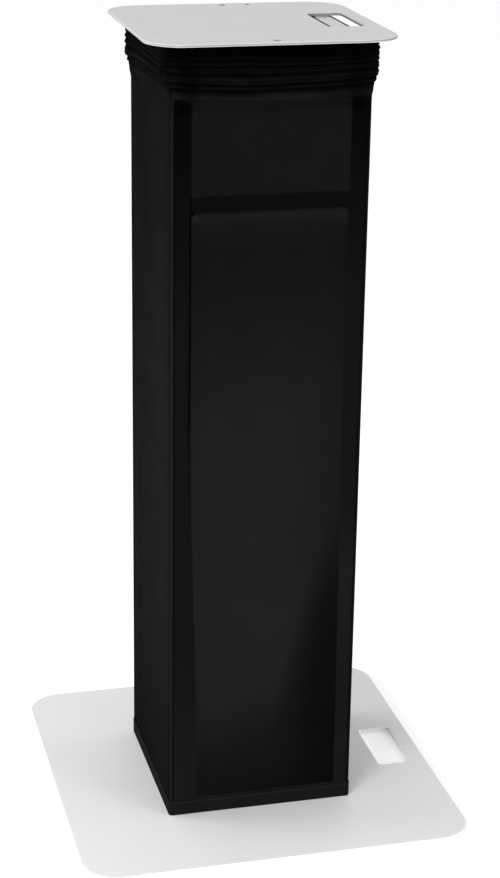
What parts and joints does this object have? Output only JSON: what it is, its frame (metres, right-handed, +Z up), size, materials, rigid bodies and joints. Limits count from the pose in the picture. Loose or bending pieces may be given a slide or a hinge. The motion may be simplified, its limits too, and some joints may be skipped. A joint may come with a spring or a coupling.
{
  "type": "height-adjustable display plinth",
  "caption": "Telescoping square display plinth: steel base and top plates with hand slots, a sliding tube frame with screw clamps, and a black stretch-fabric cover gathered at the top.",
  "frame": {"origin": "on the floor, under the middle of the column and of the base plate", "axes": "+Z up; -Y is the front face; +X is the side of the base plate with the hand slot"},
  "size_m": [0.5, 0.5, 1],
  "materials": {
    "plate_paint": "light grey powder coat, satin",
    "frame_paint": "silver-grey powder coat",
    "zinc_tube": "bright zinc plating",
    "zinc_hardware": "zinc plating",
    "foot_rubber": "matt black rubber",
    "knob_plastic": "moulded black plastic, fine grain",
    "guide_plastic": "smooth black plastic",
    "tape": "black hook and loop tape",
    "cover_fabric": "black stretch knit, slight sheen"
  },
  "bodies": {
    "lower_frame": {"base_feet": "foot_rubber", "base_hook_tape": "tape", "base_loop_tape": "tape", "base_plate": "plate_paint", "base_screws": "zinc_hardware", "bottom_rail_front": "frame_paint", "bottom_rail_rear": "frame_paint", "clamp_weld_nuts": "zinc_hardware", "cover_front_panel": "cover_fabric", "cover_gather": "cover_fabric", "cover_left_panel": "cover_fabric", "cover_rear_panel": "cover_fabric", "cover_right_panel": "cover_fabric", "cross_rail_front": "frame_paint", "cross_rail_rear": "frame_paint", "foot_block_front_left": "zinc_hardware", "foot_block_front_right": "zinc_hardware", "foot_block_rear_left": "zinc_hardware", "foot_block_rear_right": "zinc_hardware", "guide_bush_front_left": "guide_plastic", "guide_bush_front_right": "guide_plastic", "guide_bush_rear_left": "guide_plastic", "guide_bush_rear_right": "guide_plastic", "lower_post_front_left": "frame_paint", "lower_post_front_right": "frame_paint", "lower_post_rear_left": "frame_paint", "lower_post_rear_right": "frame_paint"},
    "lift_frame": {"glide_plug_front_left": "guide_plastic", "glide_plug_front_right": "guide_plastic", "glide_plug_rear_left": "guide_plastic", "glide_plug_rear_right": "guide_plastic", "inner_post_front_left": "zinc_tube", "inner_post_front_right": "zinc_tube", "inner_post_rear_left": "zinc_tube", "inner_post_rear_right": "zinc_tube", "top_hook_tape": "tape", "top_loop_tape": "tape", "top_plate": "plate_paint", "top_rail_front": "zinc_tube", "top_rail_left": "zinc_tube", "top_rail_rear": "zinc_tube", "top_rail_right": "zinc_tube", "top_studs": "zinc_hardware", "top_washers": "zinc_hardware", "top_wing_nuts": "zinc_hardware"},
    "pad_front_left": {"clamp_pad_front_left": "guide_plastic"},
    "knob_front_left": {"clamp_screw_front_left": "zinc_hardware", "clamp_knob_front_left": "knob_plastic"},
    "pad_front_right": {"clamp_pad_front_right": "guide_plastic"},
    "knob_front_right": {"clamp_screw_front_right": "zinc_hardware", "clamp_knob_front_right": "knob_plastic"},
    "pad_rear_left": {"clamp_pad_rear_left": "guide_plastic"},
    "knob_rear_left": {"clamp_screw_rear_left": "zinc_hardware", "clamp_knob_rear_left": "knob_plastic"},
    "pad_rear_right": {"clamp_pad_rear_right": "guide_plastic"},
    "knob_rear_right": {"clamp_screw_rear_right": "zinc_hardware", "clamp_knob_rear_right": "knob_plastic"}
  },
  "joints": [
    {"name": "lift", "type": "slide", "parent": "lower_frame", "child": "lift_frame", "axis": [0, 0, 1], "range_m": [0, 0.5], "deforming": ["cover_gather"]},
    {"name": "pad_slide_front_left", "type": "slide", "parent": "lower_frame", "child": "pad_front_left", "axis": [1, 0, 0], "range_m": [0, 0.003]},
    {"name": "knob_turn_front_left", "type": "hinge", "parent": "pad_front_left", "child": "knob_front_left", "pos_m": [-0.0925, -0.105, 0.87], "axis": [1, 0, 0], "range_deg": [0, 1079]},
    {"name": "pad_slide_front_right", "type": "slide", "parent": "lower_frame", "child": "pad_front_right", "axis": [-1, 0, 0], "range_m": [0, 0.003]},
    {"name": "knob_turn_front_right", "type": "hinge", "parent": "pad_front_right", "child": "knob_front_right", "pos_m": [0.0925, -0.105, 0.87], "axis": [-1, 0, 0], "range_deg": [0, 1079]},
    {"name": "pad_slide_rear_left", "type": "slide", "parent": "lower_frame", "child": "pad_rear_left", "axis": [1, 0, 0], "range_m": [0, 0.003]},
    {"name": "knob_turn_rear_left", "type": "hinge", "parent": "pad_rear_left", "child": "knob_rear_left", "pos_m": [-0.0925, 0.105, 0.87], "axis": [1, 0, 0], "range_deg": [0, 1079]},
    {"name": "pad_slide_rear_right", "type": "slide", "parent": "lower_frame", "child": "pad_rear_right", "axis": [-1, 0, 0], "range_m": [0, 0.003]},
    {"name": "knob_turn_rear_right", "type": "hinge", "parent": "pad_rear_right", "child": "knob_rear_right", "pos_m": [0.0925, 0.105, 0.87], "axis": [-1, 0, 0], "range_deg": [0, 1079]}
  ],
  "couplings": [
    {"joint": "pad_slide_front_left", "follows": "knob_turn_front_left", "m_per_rad": 0.00015915},
    {"joint": "pad_slide_front_right", "follows": "knob_turn_front_right", "m_per_rad": 0.00015915},
    {"joint": "pad_slide_rear_left", "follows": "knob_turn_rear_left", "m_per_rad": 0.00015915},
    {"joint": "pad_slide_rear_right", "follows": "knob_turn_rear_right", "m_per_rad": 0.00015915}
  ]
}
